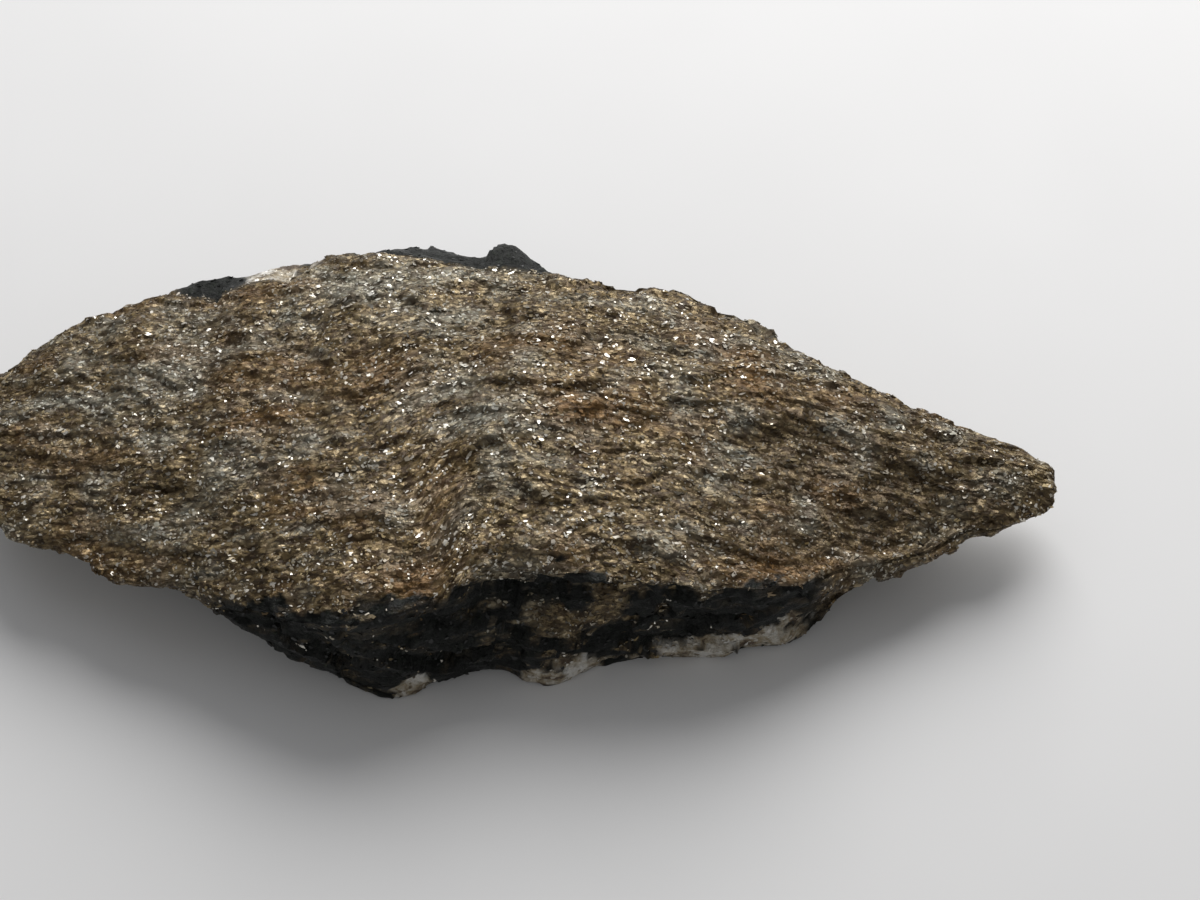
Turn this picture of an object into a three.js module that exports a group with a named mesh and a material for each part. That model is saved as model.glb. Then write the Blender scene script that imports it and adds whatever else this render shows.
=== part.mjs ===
// Mica schist: one broken, lens-shaped hand specimen that lies on its flat underside.
// A long mica face looks up and tapers to a blunt point at each end. Below its lip a shorter, darker band
// shows as a steep flank along the near side, with lenses of quartz at its foot.
// Millimetres, +Z up. X runs from the broad end to the sharp one, and Y runs away from the dark flank.
import * as THREE from "three";

// Four rails run the length of the stone and bound its four faces. Each point is [x, y, z].
const NEAR_LIP = [
  [-90, 3.5, 14.5], [-82, -9, 16], [-72, -15, 17], [-60, -20, 18], [-47, -24, 20],
  [-33, -30, 23], [-20, -30, 26], [-9, -26, 27.5], [6, -23, 28], [24, -26, 25.5],
  [40, -22.5, 22.5], [58, -18, 17.5], [73, -12, 14.5], [83, -8, 13], [90, -5.5, 12],
];
const FAR_LIP = [
  [-90, 12.5, 15.5], [-82, 20.2, 17], [-72, 28.4, 18.5], [-60, 31.3, 20], [-54, 31.2, 20.7],
  [-47, 31, 21.5], [-37, 33.7, 22.5], [-25, 37, 23.5], [-18, 37.8, 24], [-11, 36.8, 24],
  [1, 35, 23.6], [12, 33.8, 23.2], [24, 32, 22.5], [33, 29, 22], [43.5, 23.7, 21.3],
  [49.5, 19.6, 20.6], [55, 18.3, 19.9], [61, 14.9, 19.1], [67, 11.9, 18.1], [73, 9.5, 17],
  [83, 6.9, 15.5], [90, 3.5, 14],
];
const FAR_FOOT = [
  [-90, 11, 9], [-72, 22, 9.5], [-55, 29, 6], [-42, 34, 1.5], [-22, 37, 0], [0, 36, 0],
  [20, 31, 0], [38, 24, 1], [52, 17, 4], [66, 10, 7.5], [80, 6, 8.5], [90, 3, 8.5],
];
const NEAR_FOOT = [
  [-90, 5, 9], [-72, -11, 10], [-58, -15, 9], [-46, -20, 7], [-35, -26.5, 3], [-27, -30, 1],
  [-18, -34.5, 0], [-10, -32, 0], [0, -29, 0.5], [7, -31, 0], [17, -27.5, 0], [26, -25, 0.5],
  [40, -24, 0], [50, -22, 1], [56, -18, 6], [64, -14, 8.5], [78, -7.5, 8.5], [90, -3, 8],
];

// Both lips wander in and out in waves of this length, by up to this much.
const RAGGED = { wave: 7, reach: 1.2 };

const HALF_LENGTH = 90;
// Each blunt end bulges past its last section and closes over smaller rings, as [size, share of the bulge].
const TIP = { bulge: 2, rings: [[0.8, 0.55], [0.45, 0.9]], fade: 14, leastLumps: 0.3 };

// The mica face's crest: its height over the chord between the lips where the face is widest,
// and its place as a share of the way from the near lip to the far one.
const CROWN = { height: 4.2, share: 0.56, fullWidth: 69 };

// The fold that crosses the mica face: a trough between two swells, along x = at + bow * share^2.
const FOLD = { at: -11, bow: 11, trough: 1.4, troughWidth: 7, swell: 0.8, swellWidth: 11, swellOffset: 15 };

// The grain of the mica runs along the stone. It climbs across the fold, less far towards the far lip,
// and then falls by a steady slope towards the sharp end.
const GRAIN = {
  near: { y: -20, x: -6.2, halfWidth: 4 },
  far: { y: 8, x: -14.5, halfWidth: 10 },
  climb: 6, leastClimb: 0.3, fadeFrom: 12, fadeTo: 26,
  fallFrom: 8, fall: 0.13,
};

// The step on the sharp half of the mica face, on whose near side the sheets have broken away.
const STEP = { from: 26, to: 84, ends: 16, share: 0.57, drop: 1.6, width: 0.07, wander: 0.05, wave: 13 };

// Sheets of mica overlap like shingles across the face. Each starts in a riser that looks at the near lip and
// runs along the grain, and the edges that would pass a lip gather along it, gather of the width apart.
// A riser wanders from side to side, and comes and goes in stretches that cover part of its length.
// Wander is a share of the pitch, and riser and middle are shares of a sheet's width.
const SHEETS = {
  count: 9, firstLine: -30, pitch: 7.6, gather: 0.018, rise: 1.3, stretch: 13, cover: 0.12,
  wander: 0.42, wave: 17, riser: 0.18, middle: 0.58,
};
const LIP_FADE = 0.1; // relief of the mica face dies away over this share of its width at each lip

// The flanks break in blocks, which stand out or back and lean by their own amounts.
const BLOCKS = { length: 13, height: 6.5, jitter: 0.4, reach: 1.9, lean: 1.2 };

// The dark shelf halfway down the near flank, and the hollow above it.
const SHELF = { x: 11, z: 14, halfLength: 9, halfHeight: 2.6, rise: 2.6 };
const LIP_HOLLOW = { x: 6, z: 22, halfLength: 40, halfHeight: 3.2, rise: -2.4 };
// Where the dark band reaches past the far lip.
const FAR_RIDGES = [
  { x: -12, z: 18, halfLength: 13, halfHeight: 6, rise: 6.4 },
  { x: 2, z: 18, halfLength: 5, halfHeight: 6, rise: 7 },
  { x: -48, z: 17.5, halfLength: 6, halfHeight: 4.5, rise: 6.6 },
];
// Lenses of quartz, which weather proud of the flanks.
const NEAR_QUARTZ = [
  { x: 10.5, z: 2.6, halfLength: 7, halfHeight: 2.4, rise: 1.6 },
  { x: 34, z: 3, halfLength: 9, halfHeight: 2.6, rise: 1.1 },
  { x: 46.5, z: 3.4, halfLength: 5, halfHeight: 2.6, rise: 1.2 },
  { x: -13.5, z: 2.4, halfLength: 3.4, halfHeight: 2, rise: 0.9 },
];
const FAR_QUARTZ = [{ x: -36.5, z: 18, halfLength: 6.5, halfHeight: 5.5, rise: 6.6 }];
const NEAR_FORMS = [SHELF, LIP_HOLLOW, ...NEAR_QUARTZ];
const FAR_FORMS = [...FAR_RIDGES, ...FAR_QUARTZ];

// Lumps of two sizes all over the stone, and hollows in an underside that is flat between them.
const LUMPS = [{ size: 22, height: 1.3 }, { size: 10, height: 0.7 }];
const HOLLOWS = { size: 15, depth: 1.7 };

// Sections along the stone, and steps across the three faces that have no sheets.
const SECTIONS = 92;
const STEPS = { far: 8, under: 7, near: 9 };

// Each kind of relief draws its noise from its own layers.
const LAYER = {
  nearLip: 3, farLip: 4, step: 7, edges: 11, risers: 12, farBlocks: 40, nearBlocks: 80, hollows: 90,
  lumpsOut: 20, lumpsUp: 30,
};

const MICA_BRONZE = 0x6b6050;

const clamp01 = (t) => Math.min(1, Math.max(0, t));
const smoothstep = (from, to, t) => {
  const s = clamp01((t - from) / (to - from));
  return s * s * (3 - 2 * s);
};
const mix = (a, b, t) => a + (b - a) * t;
const bell = (t) => Math.exp(-t * t);

// A fixed pseudo-random value from -1 to 1 at each point of a whole-number lattice.
function latticeValue(ix, iy, iz) {
  let h = Math.imul(ix, 374761393) + Math.imul(iy, 668265263) + Math.imul(iz, 1440662683);
  h = Math.imul(h ^ (h >>> 13), 1274126177);
  return ((h ^ (h >>> 16)) >>> 0) / 2147483647.5 - 1;
}

// Smooth noise from -1 to 1: lattice values eased together.
function noise(x, y, z) {
  const [ix, iy, iz] = [x, y, z].map(Math.floor);
  const [tx, ty, tz] = [x - ix, y - iy, z - iz].map((t) => t * t * (3 - 2 * t));
  const row = (dy, dz) =>
    mix(latticeValue(ix, iy + dy, iz + dz), latticeValue(ix + 1, iy + dy, iz + dz), tx);
  return mix(mix(row(0, 0), row(1, 0), ty), mix(row(0, 1), row(1, 1), ty), tz);
}

// The point of a rail at x: cubic pieces whose slopes are the mean slopes at its points.
function along(rail, x) {
  let i = 0;
  while (i < rail.length - 2 && rail[i + 1][0] < x) i += 1;
  const slope = (k, axis) => {
    const before = rail[Math.max(0, k - 1)];
    const after = rail[Math.min(rail.length - 1, k + 1)];
    return (after[axis] - before[axis]) / (after[0] - before[0]);
  };
  const span = rail[i + 1][0] - rail[i][0];
  const t = (x - rail[i][0]) / span;
  const value = (axis) => {
    const [a, b] = [rail[i][axis], rail[i + 1][axis]];
    const [ma, mb] = [slope(i, axis) * span, slope(i + 1, axis) * span];
    return (
      (2 * t ** 3 - 3 * t ** 2 + 1) * a + (t ** 3 - 2 * t ** 2 + t) * ma +
      (3 * t ** 2 - 2 * t ** 3) * b + (t ** 3 - t ** 2) * mb
    );
  };
  return { y: value(1), z: value(2) };
}

// The relief that dies away at the two ends of the stone.
const endFade = (x) => smoothstep(0, TIP.fade, HALF_LENGTH - Math.abs(x));

// How far the grain line that starts at y has climbed at x.
function grainClimb(x, y) {
  const { near, far } = GRAIN;
  const t = clamp01((y - near.y) / (far.y - near.y));
  const pastFold = (x - mix(near.x, far.x, t)) / mix(near.halfWidth, far.halfWidth, t);
  const climb = GRAIN.climb * mix(1, GRAIN.leastClimb, smoothstep(GRAIN.fadeFrom, GRAIN.fadeTo, y));
  return climb * smoothstep(-1, 1, pastFold) - GRAIN.fall * Math.max(0, x - GRAIN.fallFrom);
}

// The edges where the sheets start, as shares of the way from the near lip to the far one.
function sheetEdges(x, nearLip, width) {
  const { count, firstLine, pitch, gather, wander, wave } = SHEETS;
  const edges = [0];
  for (let k = 1; k < count; k += 1) {
    const line = firstLine + pitch * (k + wander * noise(x / wave, 2 * k, LAYER.edges));
    const share = (line + grainClimb(x, line) - nearLip.y) / width;
    edges.push(Math.min(Math.max(share, edges[k - 1] + gather), 1 - (count - k) * gather));
  }
  return [...edges, 1];
}

// The height of the riser where sheet k starts, which shrinks where a sheet on either side of it is narrow.
function riserHeight(x, k, edges, width) {
  const before = edges[k] - (edges[k - 1] ?? 0);
  const after = (edges[k + 1] ?? 1) - edges[k];
  const narrow = Math.min(1, (2 * width * Math.min(before, after)) / SHEETS.pitch);
  const shown = clamp01(SHEETS.cover + noise(x / SHEETS.stretch, 2 * k, LAYER.risers));
  return SHEETS.rise * shown * endFade(x) * narrow;
}

// Height of the mica face over the chord between its lips, without its sheets.
function faceHeight(x, share, width) {
  const nearSide = share / CROWN.share;
  const farSide = (1 - share) / (1 - CROWN.share);
  const up = Math.min(nearSide, farSide) / 2;
  const crown = CROWN.height * 4 * up * (1 - up) * Math.sqrt(width / CROWN.fullWidth);

  const pastFold = x - (FOLD.at + FOLD.bow * share * share);
  const fold =
    FOLD.swell * bell((pastFold - FOLD.swellOffset) / FOLD.swellWidth) +
    FOLD.swell * bell((pastFold + FOLD.swellOffset) / FOLD.swellWidth) -
    FOLD.trough * bell(pastFold / FOLD.troughWidth);

  const stepLine = STEP.share + STEP.wander * noise(x / STEP.wave, 0, LAYER.step);
  const broken = 1 - smoothstep(stepLine - STEP.width, stepLine + STEP.width, share);
  const onSharpHalf =
    smoothstep(STEP.from, STEP.from + STEP.ends, x) * (1 - smoothstep(STEP.to - STEP.ends, STEP.to, x));
  return crown + (fold - STEP.drop * broken * onSharpHalf) * insideLips(share);
}

const insideLips = (share) => smoothstep(0, LIP_FADE, share) * smoothstep(0, LIP_FADE, 1 - share);

// A rounded rise, or a hollow if its rise is negative, on a flank.
const swellOf = (form, x, z) =>
  form.rise * bell((x - form.x) / form.halfLength) * bell((z - form.z) / form.halfHeight);

// How far the block at a point of a flank stands out. Its centre is the nearest of the jittered centres,
// one in each cell of a lattice, and the block leans about that centre.
function blockOut(x, z, layer) {
  const [u, w] = [x / BLOCKS.length, z / BLOCKS.height];
  let nearest = Infinity;
  let out = 0;
  [-1, 0, 1].forEach((di) => {
    [-1, 0, 1].forEach((dj) => {
      const [i, j] = [Math.floor(u) + di, Math.floor(w) + dj];
      const du = u - i - 0.5 - BLOCKS.jitter * latticeValue(i, j, layer);
      const dw = w - j - 0.5 - BLOCKS.jitter * latticeValue(i, j, layer + 1);
      const distance = du * du + dw * dw;
      if (distance >= nearest) return;
      nearest = distance;
      const lean = du * latticeValue(i, j, layer + 2) + dw * latticeValue(i, j, layer + 3);
      out = BLOCKS.reach * (latticeValue(i, j, layer + 4) + BLOCKS.lean * lean);
    });
  });
  return out * endFade(x);
}

// How far a flank stands out of the plane between its lip and its foot, at a share of the way across it.
function flankOut(forms, x, z, share, layer) {
  const swells = forms.reduce((sum, form) => sum + swellOf(form, x, z), 0);
  return (swells + blockOut(x, z, layer)) * Math.sqrt(Math.sin(Math.PI * share));
}

// One closed section of the stone: the mica face from its near lip, the far flank, underside and near flank.
function section(x) {
  const rails = [NEAR_LIP, FAR_LIP, FAR_FOOT, NEAR_FOOT];
  const [nearLip, farLip, farFoot, nearFoot] = rails.map((rail) => along(rail, x));
  const ragged = (layer) => RAGGED.reach * noise(x / RAGGED.wave, 0, layer) * endFade(x);
  nearLip.y += ragged(LAYER.nearLip);
  farLip.y += ragged(LAYER.farLip);
  const width = farLip.y - nearLip.y;
  const ring = [];
  const push = (y, z) => ring.push(new THREE.Vector3(x, y, z));

  const edges = sheetEdges(x, nearLip, width);
  for (let k = 0; k < SHEETS.count; k += 1) {
    const [from, to] = [edges[k], edges[k + 1]];
    const head = riserHeight(x, k, edges, width) / 2;
    const nextFoot = -riserHeight(x, k + 1, edges, width) / 2;
    const down = (SHEETS.middle - SHEETS.riser) / (1 - SHEETS.riser);
    [[0, -head], [SHEETS.riser, head], [SHEETS.middle, mix(head, nextFoot, down)]].forEach(([at, up]) => {
      const share = mix(from, to, at);
      const height = faceHeight(x, share, width) + up * insideLips(share);
      push(mix(nearLip.y, farLip.y, share), mix(nearLip.z, farLip.z, share) + height);
    });
  }
  for (let k = 0; k < STEPS.far; k += 1) {
    const t = k / STEPS.far;
    const z = mix(farLip.z, farFoot.z, t);
    push(mix(farLip.y, farFoot.y, t) + flankOut(FAR_FORMS, x, z, t, LAYER.farBlocks), z);
  }
  for (let k = 0; k < STEPS.under; k += 1) {
    const t = k / STEPS.under;
    push(mix(farFoot.y, nearFoot.y, t), mix(farFoot.z, nearFoot.z, t));
  }
  for (let k = 0; k < STEPS.near; k += 1) {
    const t = k / STEPS.near;
    const z = mix(nearFoot.z, nearLip.z, t);
    push(mix(nearFoot.y, nearLip.y, t) - flankOut(NEAR_FORMS, x, z, t, LAYER.nearBlocks), z);
  }
  return ring;
}

// A section with its lumps, which push each point about by noise in space and die away at the ends.
// None lifts the underside, which has hollows instead and is flat between them.
function withRelief(ring) {
  const underFrom = ring.length - STEPS.near - STEPS.under;
  const underTo = ring.length - STEPS.near;
  const push = ({ x, y, z }, layer) =>
    LUMPS.reduce((sum, { size, height }) => sum + height * noise(x / size, y / size, z / size + layer), 0);
  return ring.map((p, k) => {
    const rowsAboveFoot = Math.max(0, underFrom - k, k - underTo);
    const lifted = smoothstep(0, STEPS.far / 2, rowsAboveFoot) * push(p, LAYER.lumpsUp);
    const hollow = HOLLOWS.depth * noise(p.x / HOLLOWS.size, p.y / HOLLOWS.size, LAYER.hollows);
    const fade = mix(TIP.leastLumps, 1, endFade(p.x));
    const z = p.z + (rowsAboveFoot > 0 ? fade * lifted : hollow);
    return new THREE.Vector3(p.x, p.y + fade * push(p, LAYER.lumpsOut), Math.max(0, z));
  });
}

const middleOf = (ring) =>
  ring.reduce((sum, p) => sum.add(p), new THREE.Vector3()).divideScalar(ring.length);

// The smaller rings past an end section, from the larger to the smaller.
function tipRings(ring, side) {
  const middle = middleOf(ring);
  const shrunk = (size, out) =>
    ring.map((p) => middle.clone().lerp(p, size).add(new THREE.Vector3(side * out * TIP.bulge, 0, 0)));
  return TIP.rings.map(([size, out]) => shrunk(size, out));
}

// The closed mesh through the rings, with a fan of triangles to a middle point at each end.
function closedMesh(rings) {
  const around = rings[0].length;
  const points = rings.flat();
  const triangles = [];
  for (let i = 0; i < rings.length - 1; i += 1) {
    for (let k = 0; k < around; k += 1) {
      const [a, b] = [i * around + k, i * around + ((k + 1) % around)];
      triangles.push(a, a + around, b, b, a + around, b + around);
    }
  }
  const [, lastOut] = TIP.rings.at(-1);
  [0, rings.length - 1].forEach((i) => {
    const side = i === 0 ? -1 : 1;
    const middle = middleOf(rings[i]);
    middle.x += side * (1 - lastOut) * TIP.bulge;
    points.push(middle);
    for (let k = 0; k < around; k += 1) {
      const [a, b] = [i * around + k, i * around + ((k + 1) % around)];
      triangles.push(points.length - 1, side < 0 ? a : b, side < 0 ? b : a);
    }
  });
  const geometry = new THREE.BufferGeometry().setFromPoints(points);
  geometry.setIndex(triangles);
  return geometry;
}

// The stone, with the middle of its bounding box's base at the origin.
function schistGeometry() {
  const rings = [];
  for (let i = 0; i <= SECTIONS; i += 1) {
    rings.push(withRelief(section(mix(-HALF_LENGTH, HALF_LENGTH, i / SECTIONS))));
  }
  const broadTip = tipRings(rings[0], -1).reverse();
  const sharpTip = tipRings(rings.at(-1), 1);
  const geometry = closedMesh([...broadTip, ...rings, ...sharpTip]);
  geometry.computeBoundingBox();
  const { min, max } = geometry.boundingBox;
  geometry.translate(-(min.x + max.x) / 2, -(min.y + max.y) / 2, -min.z);
  geometry.computeVertexNormals();
  return geometry;
}

const schist = new THREE.Mesh(
  schistGeometry(),
  new THREE.MeshStandardMaterial({ color: MICA_BRONZE, roughness: 0.55, metalness: 0.1, flatShading: true }),
);
schist.name = "schist";

const specimen = new THREE.Group();
specimen.add(schist);

export default specimen;
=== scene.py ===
import math

import bpy
import numpy as np
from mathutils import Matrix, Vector


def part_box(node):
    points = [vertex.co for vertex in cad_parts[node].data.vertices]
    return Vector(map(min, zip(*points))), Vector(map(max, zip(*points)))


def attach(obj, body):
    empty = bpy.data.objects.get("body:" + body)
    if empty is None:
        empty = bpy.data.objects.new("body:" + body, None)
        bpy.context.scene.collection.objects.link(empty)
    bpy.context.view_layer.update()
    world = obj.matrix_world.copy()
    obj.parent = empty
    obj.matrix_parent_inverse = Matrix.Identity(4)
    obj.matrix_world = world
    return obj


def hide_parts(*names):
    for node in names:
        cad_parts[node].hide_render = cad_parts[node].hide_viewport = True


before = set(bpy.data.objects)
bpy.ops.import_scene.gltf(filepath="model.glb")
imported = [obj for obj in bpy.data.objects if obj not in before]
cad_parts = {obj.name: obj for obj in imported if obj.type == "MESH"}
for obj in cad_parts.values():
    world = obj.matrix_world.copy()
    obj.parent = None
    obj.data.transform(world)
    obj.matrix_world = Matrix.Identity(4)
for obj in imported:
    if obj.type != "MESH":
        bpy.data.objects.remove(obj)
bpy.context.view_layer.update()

# A hand specimen of mica schist that lies on its flat underside. Shapes are worked out in millimetres in the
# stone's own frame: X along the stone, Y away from the dark flank, Z up. They go into the meshes in metres.
mm = 0.001
tiny = 1e-12
scene = bpy.context.scene

# whole numbers that scatter the lattice: one for each axis, and a mixer with its two shifts
hashAxes = [np.uint32(n) for n in (374761393, 668265263, 1440662683)]
hashMixer = np.uint32(1274126177)
hashShifts = [np.uint32(n) for n in (13, 16)]
halfRange = 2147483647.5


# Eased step: 0 before start, 1 after end, and 3s^2 - 2s^3 between.
def ease(start, end, t):
    s = np.clip((t - start) / (end - start), 0, 1)
    return s * s * (3 - 2 * s)


# Bell: e to the power of minus t squared.
def bell(t):
    return np.exp(-t * t)


# From a to b as t goes from 0 to 1.
def mix(a, b, t):
    return a + (b - a) * t


# Vectors divided by their own lengths.
def unit(v):
    return v / np.maximum(np.linalg.norm(v, axis=-1, keepdims=True), tiny)


# A fixed pseudo-random value from -1 to 1 at each point of a whole-number lattice, by 32-bit hashing.
def latticeValue(ix, iy, iz):
    ix, iy, iz = (i.astype(np.int64).astype(np.uint32) for i in np.broadcast_arrays(ix, iy, iz))
    h = ix * hashAxes[0] + iy * hashAxes[1] + iz * hashAxes[2]
    h = (h ^ (h >> hashShifts[0])) * hashMixer
    return (h ^ (h >> hashShifts[1])) / halfRange - 1


# Smooth noise from -1 to 1: the eight lattice values round a point, eased together.
def noise(x, y, z):
    x, y, z = np.broadcast_arrays(x, y, z)
    ix, iy, iz = np.floor(x), np.floor(y), np.floor(z)
    tx, ty, tz = (t * t * (3 - 2 * t) for t in (x - ix, y - iy, z - iz))

    def row(dy, dz):
        return mix(latticeValue(ix, iy + dy, iz + dz), latticeValue(ix + 1, iy + dy, iz + dz), tx)

    return mix(mix(row(0, 0), row(1, 0), ty), mix(row(0, 1), row(1, 1), ty), tz)


# Sum of noises drawn out along u, each given as (length, breadth, height, layer).
def waves(entries, u, w):
    return sum(height * noise(u / length, w / breadth, layer) for length, breadth, height, layer in entries)


# Broken blocks on a plane: each point takes the reach of the nearest jittered centre, one to a lattice cell,
# and a lean that grows with the distance from that centre.
def blocks(u, w, layer, jitter=0.4, lean=1.2):
    u, w = np.broadcast_arrays(u, w)
    nearest = np.full(u.shape, np.inf)
    out = np.zeros(u.shape)
    for di in (-1, 0, 1):
        for dj in (-1, 0, 1):
            i, j = np.floor(u) + di, np.floor(w) + dj
            du = u - i - 0.5 - jitter * latticeValue(i, j, layer)
            dw = w - j - 0.5 - jitter * latticeValue(i, j, layer + 1)
            distance = du * du + dw * dw
            leaning = du * latticeValue(i, j, layer + 2) + dw * latticeValue(i, j, layer + 3)
            closer = distance < nearest
            out = np.where(closer, latticeValue(i, j, layer + 4) + lean * leaning, out)
            nearest = np.where(closer, distance, nearest)
    return out


# The stone. Its rails, fold, blocks and lumps are the solid's own, drawn here on a finer grid.
stone = {
    "nearLip": [
        (-90, 3.5, 14.5), (-82, -9, 16), (-72, -15, 17), (-60, -20, 18), (-47, -24, 20),
        (-33, -30, 23), (-20, -30, 26), (-9, -26, 27.5), (6, -23, 28), (24, -26, 25.5),
        (40, -22.5, 22.5), (58, -18, 17.5), (73, -12, 14.5), (83, -8, 13), (90, -5.5, 12),
    ],
    "farLip": [
        (-90, 12.5, 15.5), (-82, 20.2, 17), (-72, 28.4, 18.5), (-60, 31.3, 20), (-54, 31.2, 20.7),
        (-47, 31, 21.5), (-37, 33.7, 22.5), (-25, 37, 23.5), (-18, 37.8, 24), (-11, 36.8, 24),
        (1, 35, 23.6), (12, 33.8, 23.2), (24, 32, 22.5), (33, 29, 22), (43.5, 23.7, 21.3),
        (49.5, 19.6, 20.6), (55, 18.3, 19.9), (61, 14.9, 19.1), (67, 11.9, 18.1), (73, 9.5, 17),
        (83, 6.9, 15.5), (90, 3.5, 14),
    ],
    "farFoot": [
        (-90, 11, 9), (-72, 22, 9.5), (-55, 29, 6), (-42, 34, 1.5), (-22, 37, 0), (0, 36, 0),
        (20, 31, 0), (38, 24, 1), (52, 17, 4), (66, 10, 7.5), (80, 6, 8.5), (90, 3, 8.5),
    ],
    "nearFoot": [
        (-90, 5, 9), (-72, -11, 10), (-58, -15, 9), (-46, -20, 7), (-35, -26.5, 3), (-27, -30, 1),
        (-18, -34.5, 0), (-10, -32, 0), (0, -29, 0.5), (7, -31, 0), (17, -27.5, 0), (26, -25, 0.5),
        (40, -24, 0), (50, -22, 1), (56, -18, 6), (64, -14, 8.5), (78, -7.5, 8.5), (90, -3, 8),
    ],
    "ragged": {"wave": 7, "reach": 1.2},  # both lips wander in and out
    "halfLength": 90, "tipBulge": 2, "tipFade": 14, "leastLumps": 0.3, "lipFade": 0.1,
    "crown": {"height": 4.2, "share": 0.56, "fullWidth": 69},
    "fold": {
        "at": -11, "bow": 11, "trough": 1.4, "troughWidth": 7,
        "swell": 0.8, "swellWidth": 11, "swellOffset": 15,
    },
    "step": {
        "from": 26, "to": 84, "ends": 16, "share": 0.57, "drop": 1.6, "width": 0.07,
        "wander": 0.05, "wave": 13,
    },
    "blocks": {"length": 13, "height": 6.5, "reach": 1.9},
    # forms on the flanks as (x, z, half length, half height, rise)
    "nearForms": [(11, 14, 9, 2.6, 2.6), (6, 22, 40, 3.2, -2.4)],
    "farForms": [(-12, 18, 13, 6, 6.4), (2, 18, 5, 6, 7), (-48, 17.5, 6, 4.5, 6.6)],
    "nearQuartz": [
        (10.5, 2.6, 7, 2.4, 1.6), (34, 3, 9, 2.6, 1.1), (46.5, 3.4, 5, 2.6, 1.2), (-13.5, 2.4, 3.4, 2, 0.9),
    ],
    "farQuartz": [(-36.5, 18, 6.5, 5.5, 6.6)],
    "lensReach": 1.35, "lensSmooth": 0.8,  # lenses cover more than they bulge, and flatten the blocks there
    "lumps": [(22, 1.3), (10, 0.7)],  # (size, height)
    "farRise": 0.5, "nearRise": 0.45,  # share of a flank, from its foot, over which lumps come to full height
    "hollows": {"size": 15, "depth": 1.7},
    "layer": {
        "nearLip": 3, "farLip": 4, "step": 7, "lumpsOut": 20, "lumpsUp": 30,
        "farBlocks": 40, "nearBlocks": 80, "hollows": 90,
    },
    # the fine grid
    "sections": 284, "faceRows": 214, "farRows": 42, "underRows": 22, "nearRows": 50, "tipRings": 6,
    "poleOut": 0.05, "mapMargin": 0.01,
}


# y and z of a rail at x: cubic pieces whose slopes are the mean slopes at the rail's points.
def alongRail(rail, x):
    points = np.array(rail, float)
    here = np.arange(len(points))
    before, after = points[np.maximum(here - 1, 0)], points[np.minimum(here + 1, here[-1])]
    slope = (after - before) / (after[:, :1] - before[:, :1])
    i = np.searchsorted(points[1:-1, 0], x)
    span = (points[i + 1, 0] - points[i, 0])[:, None]
    t = (x[:, None] - points[i, :1]) / span
    value = (
        (2 * t**3 - 3 * t**2 + 1) * points[i] + (t**3 - 2 * t**2 + t) * slope[i] * span
        + (3 * t**2 - 2 * t**3) * points[i + 1] + (t**3 - t**2) * slope[i + 1] * span
    )
    return value[:, 1:2], value[:, 2:3]


# An eased step from 0 at either end of the stone to 1 well inside it.
def endFade(x):
    return ease(0, stone["tipFade"], stone["halfLength"] - np.abs(x))


# An eased step from 0 at either lip to 1 on the face between them.
def insideLips(share):
    return ease(0, stone["lipFade"], share) * ease(0, stone["lipFade"], 1 - share)


# Sum of rounded swellings: a bell along x times a bell along z, times the rise.
def swells(forms, x, z):
    return sum(rise * bell((x - fx) / halfX) * bell((z - fz) / halfZ) for fx, fz, halfX, halfZ, rise in forms)


# How far lenses of quartz cover a place on a flank, from 0 to 1. They reach a little higher than their bulge.
def lensCover(lenses, x, z):
    reach = stone["lensReach"]
    cover = swells([(fx, fz, halfX, reach * halfZ, 1) for fx, fz, halfX, halfZ, _ in lenses], x, z)
    return np.clip(cover, 0, 1)


# Height of the mica face over the chord between its lips: a crown, a trough between two swells and one step.
def faceHeight(x, share, width):
    crown, fold, step = stone["crown"], stone["fold"], stone["step"]
    up = np.minimum(share / crown["share"], (1 - share) / (1 - crown["share"])) / 2
    crownHeight = crown["height"] * 4 * up * (1 - up) * np.sqrt(width / crown["fullWidth"])
    past = x - (fold["at"] + fold["bow"] * share * share)
    folded = -fold["trough"] * bell(past / fold["troughWidth"]) + fold["swell"] * (
        bell((past - fold["swellOffset"]) / fold["swellWidth"])
        + bell((past + fold["swellOffset"]) / fold["swellWidth"])
    )
    line = step["share"] + step["wander"] * noise(x / step["wave"], 0, stone["layer"]["step"])
    broken = 1 - ease(line - step["width"], line + step["width"], share)
    sharpHalf = ease(step["from"], step["from"] + step["ends"], x) * (
        1 - ease(step["to"] - step["ends"], step["to"], x)
    )
    return crownHeight + (folded - step["drop"] * broken * sharpHalf) * insideLips(share)


# Outward unit normals of a ring grid: the slope along the stone crossed with the slope round it.
def gridNormals(p):
    alongStone = np.empty_like(p)
    alongStone[1:-1] = p[2:] - p[:-2]
    alongStone[0], alongStone[-1] = p[1] - p[0], p[-1] - p[-2]
    roundStone = np.roll(p, -1, 1) - np.roll(p, 1, 1)
    return unit(np.cross(alongStone, roundStone))


# Mean over a window of the ring grid, which wraps round the stone and stops at its ends.
def softened(field, sectionsEachWay, rowsEachWay):
    shifts = range(-rowsEachWay, rowsEachWay + 1)
    field = sum(np.roll(field, s, 1) for s in shifts) / len(shifts)
    last = len(field) - 1
    shifts = range(-sectionsEachWay, sectionsEachWay + 1)
    return sum(field[np.clip(np.arange(last + 1) + s, 0, last)] for s in shifts) / len(shifts)


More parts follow.
